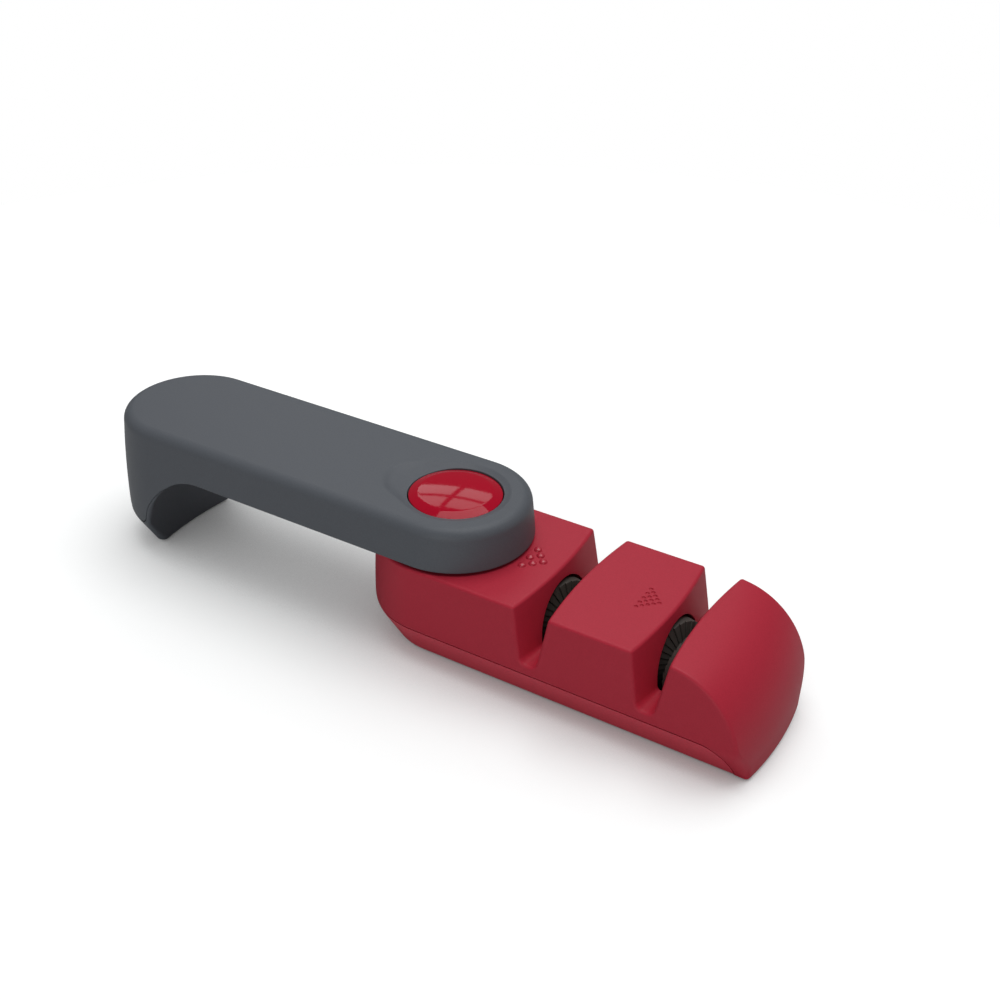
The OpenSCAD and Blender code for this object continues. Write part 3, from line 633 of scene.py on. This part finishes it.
def swing_edge(angle, inset):
    """Point of the leg's inner face at an angle of its curve, which is turned about the pivot, and at
    a distance inside the handle's side: the side is straight at first, then round about the far end."""
    r = nose_r - nose_back + (nose_back + nose_gap) * np.cos(angle)
    z = nose_z + (handle_z - nose_z) * np.sin(angle)
    run = joint_run(z, seam_top)
    r = r + run + joint_gap * np.clip(run / joint_gap, 0, 1)
    x = side_cut(r, half_width(z) - inset)
    return np.stack([x, np.sqrt(r * r - x * x), z + 0 * x], -1)


def side_point(place, z, inset):
    """Point of the handle's side: place is a centre on the middle line and a direction from it."""
    w = half_width(z) - inset
    return np.stack([place[0] + place[1] * w, place[2] * w, z + 0 * w], -1)


def place_of(point):
    """Centre and direction of the handle's side that a point belongs to."""
    x, y = point[..., 0], point[..., 1]
    past = x < -far
    angle = np.where(past, np.arctan2(y, x + far), np.pi / 2)
    return np.stack([np.where(past, -far, x), np.where(past, np.cos(angle), 0), np.sin(angle)])


# The lower rim of one side in three stretches, from the tip at the pivot: the level underside of the
# handle, the curve of the leg, and the seam round the far end. Each has four lines: its sharp edge,
# the start of the rounding on the side, the end of it below, and the inner face of the wall.
seam_top = seam_z + seam_gap / 2
tip = np.linspace(0, np.pi / 2, 31)
hole_x = -np.linspace(0, hole_end, 25)[1:]
tail_x = -np.linspace(hole_end, tail_end, 37)[1:]
plain_x = -np.linspace(tail_end, bar_end, 8)[1:]
bar_x = np.concatenate([hole_x, tail_x, plain_x])
joint_z = seam_top + joint_turn * (1 - np.sin(np.linspace(0, np.pi / 2, 11)))
joint_angle = np.arcsin((joint_z - nose_z) / (handle_z - nose_z))
curve = np.append(np.linspace(np.pi / 2, joint_angle[0], 44), joint_angle[1:])
corner = swing_edge(curve[-1], 0)
corner_in = swing_edge(curve[-1], wall)
far_outer = np.linspace(np.arctan2(corner[1], corner[0] + far), np.pi, 34)
far_inner = np.linspace(np.arctan2(corner_in[1], corner_in[0] + far), np.pi, 34)
tip_place = np.stack([0 * tip, np.cos(tip), np.sin(tip)])
bar_place = np.stack([bar_x, 0 * bar_x, 0 * bar_x + 1])
flat_place = np.hstack([tip_place, bar_place])
flat_edge = side_point(flat_place, np.full(flat_place.shape[1], handle_z), 0)
flat_start = side_point(flat_place, np.full(flat_place.shape[1], handle_z + rim_round), 0)
flat_rim = side_point(flat_place, np.full(flat_place.shape[1], handle_z), rim_round)
flat_inner = side_point(flat_place, np.full(flat_place.shape[1], handle_z), wall)

leg_edge = swing_edge(curve, 0)
leg_side = place_of(leg_edge)
outward = np.stack([leg_side[1], leg_side[2], 0 * curve], -1)
tangent = np.gradient(leg_edge, axis=0)
into = np.cross(tangent, outward)
into *= np.sign(into[:1, 2:]) / np.linalg.norm(into, axis=1, keepdims=True)
grown = np.clip((leg_edge[:, 2] - joint_top) / round_run, 0, 1)
leg_round = seam_round + (rim_round - seam_round) * grown
leg_start = leg_edge + into * leg_round[:, None]
leg_start[:, 2] = np.maximum(leg_start[:, 2], seam_top)
leg_place = place_of(leg_start)
leg_start = side_point(leg_place, leg_start[:, 2], 0)
leg_rim = swing_edge(curve, leg_round)
leg_inner = swing_edge(curve, wall)

far_place = np.stack([0 * far_outer - far, np.cos(far_outer), np.sin(far_outer)])
far_in_place = np.stack([0 * far_inner - far, np.cos(far_inner), np.sin(far_inner)])
far_z = np.full(len(far_outer), seam_top)
far_edge = side_point(far_place, far_z, 0)
far_start = side_point(far_place, far_z + seam_round, 0)
far_rim = side_point(far_place, far_z, seam_round)
far_wall = side_point(far_in_place, far_z, wall)

place = np.hstack([flat_place, leg_place, far_place])
in_place = np.hstack([flat_place, place_of(leg_inner), far_in_place])
edge = np.vstack([flat_edge, leg_edge, far_edge])
start = np.vstack([flat_start, leg_start, far_start])
rim = np.vstack([flat_rim, leg_rim, far_rim])
inner = np.vstack([flat_inner, leg_inner, far_wall])

hole_angle = np.concatenate([tip, np.pi / 2 * (1 - hole_x / hole_end)])
middle_x = np.interp(-bar_x[len(hole_x):], [hole_end, tail_end, bar_end],
                     [hole_r + hole_ring, tail_in, bar_end])
middle_x = -np.concatenate([middle_x, -leg_place[0], -far_place[0]])


def inner_line(radius):
    """Inner ends of the handle's grid: round the button hole, then along the middle line."""
    ring = np.stack([radius * np.cos(hole_angle), radius * np.sin(hole_angle)], -1)
    return np.vstack([ring, np.stack([middle_x, 0 * middle_x], -1)])


def row_between(first, last, shares):
    """Points at shares of the way between two lines of points, one row of the grid for each share."""
    return [first + (last - first) * share for share in shares]


# The shell as rows of a grid: over the top to the fillet, down the side, round the rim, and up the
# inside of the wall to the ceiling.
fillet_z = handle_top - top_round
fillet_start = np.arctan((fillet_z - seam_z) / barrel_r)
fillet_at = half_width(fillet_z) - top_round
top_outer = np.stack([place[0] + place[1] * fillet_at, place[2] * fillet_at], -1)
top_inner = inner_line(hole_r + hole_round)
rows = []
for xy in row_between(top_inner, top_outer, 1 - np.linspace(1, 0, 41)**top_crowding):
    rows.append(np.column_stack([xy, top_height(xy[:, 0], xy[:, 1])]))
for turn_angle in np.linspace(np.pi / 2, fillet_start, 12)[1:]:
    w = fillet_at + top_round * np.cos(turn_angle)
    z = np.full(len(start), fillet_z + top_round * np.sin(turn_angle))
    rows.append(np.stack([place[0] + place[1] * w, place[2] * w, z], -1))
for z in row_between(rows[-1][:, 2], start[:, 2], np.linspace(0, 1, 16)[1:]):
    rows.append(side_point(place, z, 0))
for s in np.linspace(0, np.pi / 2, 6)[1:]:
    rows.append(edge + (start - edge) * (1 - np.sin(s)) + (rim - edge) * (1 - np.cos(s)))
rows += row_between(rim, inner, [0.5, 1])
for z in row_between(inner[:, 2], np.full(len(inner), ceiling_z), [0.5, 1]):
    rows.append(side_point(in_place, z, wall))
ceiling = np.column_stack([inner_line(collar_r), np.full(len(inner), ceiling_z)])
rows += row_between(rows[-1], ceiling, [0.3, 0.65, 1])
cover = np.stack(rows, 1)

# The button hole: a rounded lip and the collar that the button slides in.
hole_bend = np.linspace(0, np.pi / 2, 5)
lip_r = hole_r + hole_round * (1 - np.sin(hole_bend))
ring = np.stack([np.cos(hole_angle), np.sin(hole_angle)], -1)
lip_xy = ring[:, None, :] * lip_r[:, None]
lip_z = top_height(*(ring * lip_r[0]).T)[:, None] - hole_round * (1 - np.cos(hole_bend))
lip = np.concatenate([lip_xy, lip_z[..., None]], -1)
collar = [np.column_stack([ring * r, np.full(len(ring), z)])
          for r, z in ((hole_r, collar_z), (collar_r, collar_z), (collar_r, ceiling_z))]
hole_wall = np.concatenate([lip, np.stack(collar, 1)], 1)
shell = mesh_piece("handle_cover", [patch(cover), patch(hole_wall)], mirror=True)
grey_shell = finish("grey_soft_touch", (92, 96, 102), 0.45, relief=0.006, Specular_IOR_Level=0.22)
dress(shell, grey_shell, "grey_shell", "handle", "handle_shell")

# Leg cap
# The grey foot of the handle and the inner face of the leg, one moulding in the shell's plastic that
# closes the leg below and inside. A tongue enters the shell, one screw holds it, and its face is an
# arc about the pivot that clears the nose of the base.
cap_top = seam_z - seam_gap / 2
cap_tip_r = 0.75
foot_tip_r = 1.5
cap_edge_r = 1.0
tip_share = 0.68
leg_tongue_z = (7.5, 13.8)
leg_tongue_r = 0.3
leg_tongue_side = 2.3
leg_tongue_face = 1.9


def leg_slices(z, tip_r, inset=0.0, back_in=0.0, run=None, side_in=0.0, face_in=0.0):
    """Half outlines of level slices, drawn in by inset: the back, a run along the side, a tip arc that
    touches side and face, and the face, an arc about the pivot. The back is an arc about the far end,
    or the face moved out by run."""
    z, tip_r, inset, back_in, side_in, face_in = (
        np.asarray(v, float).reshape(-1, 1) for v in (z, tip_r, inset, back_in, side_in, face_in))
    w = half_width(z) - side_in - inset
    lift = np.clip((z - nose_z) / (handle_z - nose_z), 0, 1)
    r = nose_r - nose_back + (nose_back + nose_gap) * np.sqrt(1 - lift * lift) + face_in + inset
    tip = tip_r - inset
    tip_x = side_cut(r + tip, w - tip)
    tip_y = np.sqrt((r + tip)**2 - tip_x**2)
    first = np.arctan2(tip_y, np.minimum(tip_x + far, 0))
    last = np.arctan2(-tip_y, -tip_x)
    edge_r = r + (joint_t + joint_turn if run is None else np.reshape(run, (-1, 1)))
    edge_x = side_cut(edge_r, w)
    edge_y = np.sqrt(edge_r**2 - edge_x**2)
    share = np.linspace(0, 1, 31)
    if run is None:
        turn = np.pi + (np.arctan2(edge_y, edge_x + far) - np.pi) * share
        back_x, back_y = -far + (w - back_in) * np.cos(turn), (w - back_in) * np.sin(turn)
    else:
        turn = np.pi + (np.arctan2(edge_y, edge_x) - np.pi) * share
        back_x, back_y = edge_r * np.cos(turn), edge_r * np.sin(turn)
    run_x = edge_x + (tip_x + tip * np.cos(first) - edge_x) * np.linspace(0, 1, 9)[1:]
    run_y = np.sqrt(w * w - np.minimum(run_x + far, 0)**2)
    tip_turn = first + (last - first) * np.linspace(0, 1, 10)[1:-1]
    face = np.arctan2(tip_y, tip_x)
    face = face + (np.pi - face) * np.linspace(0, 1, 41)
    x = np.hstack([back_x, run_x, tip_x + tip * np.cos(tip_turn), r * np.cos(face)])
    y = np.hstack([back_y, run_y, tip_y + tip * np.sin(tip_turn), r * np.sin(face)])
    return np.stack([x, y, z + 0 * x], -1)


# The inner cover above the seam, then the foot below it with rounded edges, then the tongue.
cover_z = np.concatenate([np.linspace(joint_top, cap_top + joint_turn, 16),
                          cap_top + joint_turn * (1 - np.sin(np.linspace(0, np.pi / 2, 11)[1:]))])
cover_run = joint_run(cover_z, cap_top)
inner_cover = leg_slices(cover_z, np.minimum(cap_tip_r, cover_run * tip_share), run=cover_run)
bend = np.linspace(0, np.pi / 2, 7)
cap_z = np.concatenate([cap_top - seam_round * (1 - np.cos(bend[::2])),
                        np.linspace(cap_top - seam_round, low_z + cap_edge_r, 16)[1:],
                        low_z + cap_edge_r * (1 - np.sin(bend[1:]))])
cap_back_in = np.zeros(len(cap_z))
cap_back_in[:4] = seam_round * (1 - np.sin(bend[::2]))
cap_inset = np.zeros(len(cap_z))
cap_inset[-6:] = cap_edge_r * (1 - np.cos(bend[1:]))
cap_tip = cap_tip_r + (foot_tip_r - cap_tip_r) * (cap_top - cap_z) / (cap_top - low_z)
slices = np.concatenate([inner_cover, leg_slices(cap_z, cap_tip, cap_inset, cap_back_in)])
tongue = leg_slices(np.linspace(*leg_tongue_z, 8), leg_tongue_r, side_in=leg_tongue_side,
                    face_in=leg_tongue_face)
leg = mesh_piece("leg_foot", [patch(slices), patch(tongue)], mirror=True)
dress(leg, grey_shell, "grey_shell", "handle", "leg_cap")

# Button cap
# The red push button in the handle, moulded in polished plastic. It slides in the collar of the
# shell, is held from below by its lugs, and rests on a spring.
button_r = 10.85
button_skirt_z = 29.8
button_skirt_t = 1.3
button_under_z = 34.1
button_top = 37.1
button_edge_r = 0.2
crown_slope = 0.0125
plain_r = 8.0
band_r = 8.6
band_soft = 0.35
band_slope = 0.24

# The crown falls by a slope that grows with the radius and steps up at the bevelled band, and is
# summed from the middle outwards; a small round edge leads into the skirt.
crown_r = np.concatenate([np.linspace(0, plain_r, 17),
                          np.linspace(plain_r, button_r - button_edge_r, 26)[1:]])
in_band = np.clip((crown_r - band_r + band_soft) / (2 * band_soft), 0, 1)
slope = crown_slope * crown_r + band_slope * in_band
drop = np.cumsum(np.append(0, (slope[1:] + slope[:-1]) / 2 * np.diff(crown_r)))
edge_turn = np.linspace(np.pi / 2 - np.arctan(slope[-1]), 0, 7)
edge_r = crown_r[-1] + button_edge_r * (np.cos(edge_turn) - np.cos(edge_turn[0]))
edge_z = button_top - drop[-1] + button_edge_r * (np.sin(edge_turn) - np.sin(edge_turn[0]))
skirt_in = edge_r[-1] - button_skirt_t
skirt = [(edge_r[-1], button_skirt_z), (skirt_in, button_skirt_z), (skirt_in, button_under_z),
         (0, button_under_z)]
crown = np.stack([crown_r, button_top - drop], -1)
button_line = np.vstack([crown, np.stack([edge_r, edge_z], -1)[1:], skirt])
button = mesh_piece("button_crown", turned(button_line[::-1], sides=144))
button_red = finish("red_gloss", (178, 10, 40), 0.06, grain=0.8, relief=0.0, mottle=0.02,
                    Specular_IOR_Level=0.2)
dress(button, button_red, "button_red", "button", "button_cap")

# Wheels
# Two pairs of dark ceramic wheels, coarse and fine, pressed on hubs that turn freely on oblique
# steel axles. The cones of a pair form the V that a blade is drawn through, cut by steps.
wheel_r = 8.6
wheel_half = 4.75
v_half = 1.75
v_root_r = 3.0
hub_r = 2.5
wheel_bevel = 0.6
wheel_sharp = 20

# The small bevel between rim and cone, as steps in radius and along the axle. Then the steps of the
# cone: how many there are, and how deep each one is at shares of its turn.
bead_line = ((0.0, -0.12), (-0.03, -0.02))
wheel_steps = 28
step_share = np.array([0, 0.04, 0.1, 0.14, 0.4, 0.7, 0.96])
step_depth = np.array([0.42, 0.42, 0.3, 0.22, 0.15, 0.07, 0])


def wheel_grid(side, wheel_x):
    """One wheel: a rim and a cone turned about the oblique axle. The cone is lowered along its normal
    by a saw-tooth of the angle, with a narrow groove at each step, which ends at the smooth rim."""
    angle = (np.arange(wheel_steps)[:, None] + step_share).ravel() * 2 * np.pi / wheel_steps
    depth = np.tile(step_depth, wheel_steps)[:, None]
    lean = np.arctan2(v_half, wheel_r - v_root_r)
    cone_r = np.linspace(wheel_r, v_root_r, 9)
    cone_x = -v_half * (cone_r - v_root_r) / (wheel_r - v_root_r)
    lower = depth * np.sqrt(cone_r / wheel_r)
    bevel = np.linspace(0, np.pi / 2, 5)
    bevel_r = wheel_r - wheel_bevel * (1 - np.sin(bevel))
    bevel_x = -wheel_half + wheel_bevel * (1 - np.cos(bevel))
    rim_line = np.vstack([[hub_r, -wheel_half], np.stack([bevel_r, bevel_x], -1)])
    start = np.broadcast_to(rim_line, (len(angle), *rim_line.shape))
    edge_x = cone_x[0] - lower[:, :1] / np.cos(lean)
    bead = np.stack([np.stack([0 * edge_x[:, 0] + wheel_r + r, edge_x[:, 0] + x], -1)
                     for r, x in bead_line], 1)
    cone = np.stack([cone_r - lower * np.sin(lean), cone_x - lower * np.cos(lean)], -1)[:, 1:]
    bore = np.broadcast_to([(hub_r, 0.0)], (len(angle), 1, 2))
    line = np.concatenate([start, bead, cone, bore], 1)
    r, along_axle = line[..., 0], line[..., 1]
    grid = np.stack([along_axle, r * np.cos(angle[:, None]), r * np.sin(angle[:, None])], -1)
    grid = grid * [side, side, 1]
    return yawed(grid, axle_yaw) + [wheel_x, 0, axle_z]


coarse_ceramic = finish("coarse_ceramic", (68, 63, 58), 0.55, grain=0.25, relief=0.03, mottle=0.16,
                        Specular_IOR_Level=0.25)
fine_ceramic = finish("fine_ceramic", (74, 69, 65), 0.5, grain=0.15, relief=0.012, mottle=0.1,
                      Specular_IOR_Level=0.25)
for grit, x, ceramic in (("coarse", slot_at[0], coarse_ceramic), ("fine", slot_at[1], fine_ceramic)):
    for hand, side in (("left", 1), ("right", -1)):
        grid = wheel_grid(side, x)
        wheel = mesh_piece(f"{grit}_{hand}", [patch(grid, wrap=True)], sharp=wheel_sharp)
        dress(wheel, ceramic, f"{grit}_ceramic", f"{grit}_wheels", f"{grit}_wheel_{hand}")

# Hidden hardware
# The pieces inside and below: the handle's grey liner, black carriers, steel axles, latch ring,
# springs and screws, white hubs, washer and plunger, and rubber pads. They keep the meshes of the
# solids, and the name of each slot gives its finish.
finishes = {
    "grey_liner": finish("grey_moulded", (62, 63, 65), 0.5, grain=0.5, relief=0.01),
    "black_plastic": finish("black_moulded", (30, 30, 32), 0.5, relief=0.008),
    "white_acetal": finish("white_acetal", (226, 226, 220), 0.35, relief=0.002, mottle=0.01),
    "steel": finish("turned_steel", (176, 178, 182), 0.3, grain=0.2, relief=0.002, mottle=0.03,
                    Metallic=1.0),
    "pad_rubber": finish("pad_rubber", (36, 36, 38), 0.8, grain=0.4, relief=0.03, mottle=0.08),
    "red_shell": red_shell, "red_plate": red_plate, "grey_shell": grey_shell, "button_red": button_red,
    "coarse_ceramic": coarse_ceramic, "fine_ceramic": fine_ceramic,
}
for node in nodes.values():
    for held in node.material_slots:
        held.material = finishes[held.material.name.split(".")[0]]

# Table
# A round table of white paper. For the camera it also has a white glow, dimmed where the part
# stands over it, so that its shadow is wide, soft and grey. It gives the part no more light.
table_r = 350.0
paper_white = (0.6, 0.6, 0.6, 1)
paper_seen = (0.587, 0.6, 0.6, 1)
paper_glow = (0.63, 0.63, 0.63, 1)
glow_reach = 0.15
floor_mesh = bpy.data.meshes.new("table")
table_turn = np.linspace(0, 2 * np.pi, 128, endpoint=False)
table_rim = table_r * MM * np.stack([np.cos(table_turn), np.sin(table_turn), 0 * table_turn], -1)
floor_mesh.from_pydata(table_rim, [], [list(range(len(table_turn)))])
floor = bpy.data.objects.new("table", floor_mesh)
bpy.context.scene.collection.objects.link(floor)
paper = bpy.data.materials.new("white_paper")
paper.use_nodes = True
tree = paper.node_tree
tree.nodes.clear()
sheet = tree.nodes.new("ShaderNodeBsdfDiffuse")
seen = tree.nodes.new("ShaderNodeLightPath")
white = tree.nodes.new("ShaderNodeMix")
white.data_type = "RGBA"
white.inputs[6].default_value = paper_white
white.inputs[7].default_value = paper_seen
end = tree.nodes.new("ShaderNodeOutputMaterial")
tree.links.new(seen.outputs["Is Camera Ray"], white.inputs["Factor"])
tree.links.new(white.outputs[2], sheet.inputs["Color"])
open_air = tree.nodes.new("ShaderNodeAmbientOcclusion")
open_air.samples = 4
open_air.inputs["Color"].default_value = paper_glow
open_air.inputs["Distance"].default_value = glow_reach
glow = tree.nodes.new("ShaderNodeEmission")
both = tree.nodes.new("ShaderNodeAddShader")
tree.links.new(open_air.outputs["Color"], glow.inputs["Color"])
tree.links.new(seen.outputs["Is Camera Ray"], glow.inputs["Strength"])
tree.links.new(sheet.outputs[0], both.inputs[0])
tree.links.new(glow.outputs[0], both.inputs[1])
tree.links.new(both.outputs[0], end.inputs["Surface"])
floor_mesh.materials.append(paper)

# Lights
# A studio: an even surround that is dim for the part and white for the camera, a broad key panel
# high above and a little behind, a low fill in front, and the four panes of a window, which only
# the glossy button mirrors.
surround_level = 0.15
window = (124.5, 38.0, 0.9)
pane_size = (0.25, 0.088)
pane_watts = 0.14
window_tilt = -24
pane_shift = (0.136, 0.055)
surround = bpy.data.worlds.new("surround")
bpy.context.scene.world = surround
surround.use_nodes = True
tree = surround.node_tree
sky = tree.nodes["Background"]
sky.inputs["Color"].default_value = (1, 1, 1, 1)
seen = tree.nodes.new("ShaderNodeLightPath")
level_mix = tree.nodes.new("ShaderNodeMix")
level_mix.inputs[2].default_value = surround_level
level_mix.inputs[3].default_value = 1.0
tree.links.new(seen.outputs["Is Camera Ray"], level_mix.inputs["Factor"])
tree.links.new(level_mix.outputs[0], sky.inputs["Strength"])


def panel(name, azimuth, elevation, distance, width, height, watts, tilt=0.0, shift=(0.0, 0.0)):
    """A soft panel that faces the part from a direction given in degrees and a distance in metres. It is
    turned by tilt about that direction, and then shifted in its own plane."""
    a, e, t = np.radians([azimuth, elevation, tilt])
    toward = np.array([np.cos(a) * np.cos(e), np.sin(a) * np.cos(e), np.sin(e)])
    level_side = np.array([-np.sin(a), np.cos(a), 0.0])
    raised = np.cross(toward, level_side)
    side = level_side * np.cos(t) + raised * np.sin(t)
    above = raised * np.cos(t) - level_side * np.sin(t)
    lamp = bpy.data.objects.new(name, bpy.data.lights.new(name, "AREA"))
    lamp.data.shape = "RECTANGLE"
    lamp.data.size = width
    lamp.data.size_y = height
    lamp.data.energy = watts
    turn = Matrix(np.array([side, above, toward]).T.tolist()).to_4x4()
    middle = toward * distance + side * shift[0] + above * shift[1]
    lamp.matrix_world = Matrix.Translation(middle.tolist()) @ turn
    bpy.context.scene.collection.objects.link(lamp)
    return lamp


panel("key", 70, 79, 1.1, 1.0, 1.0, 9.1)
panel("fill", 283, 10, 1.2, 1.0, 0.6, 3.3)
for row in (-1, 1):
    for column in (-1, 1):
        panel(f"pane_{row}_{column}", *window, *pane_size, pane_watts, window_tilt,
              (column * pane_shift[0], row * pane_shift[1]))
bpy.context.scene.view_settings.view_transform = "Standard"
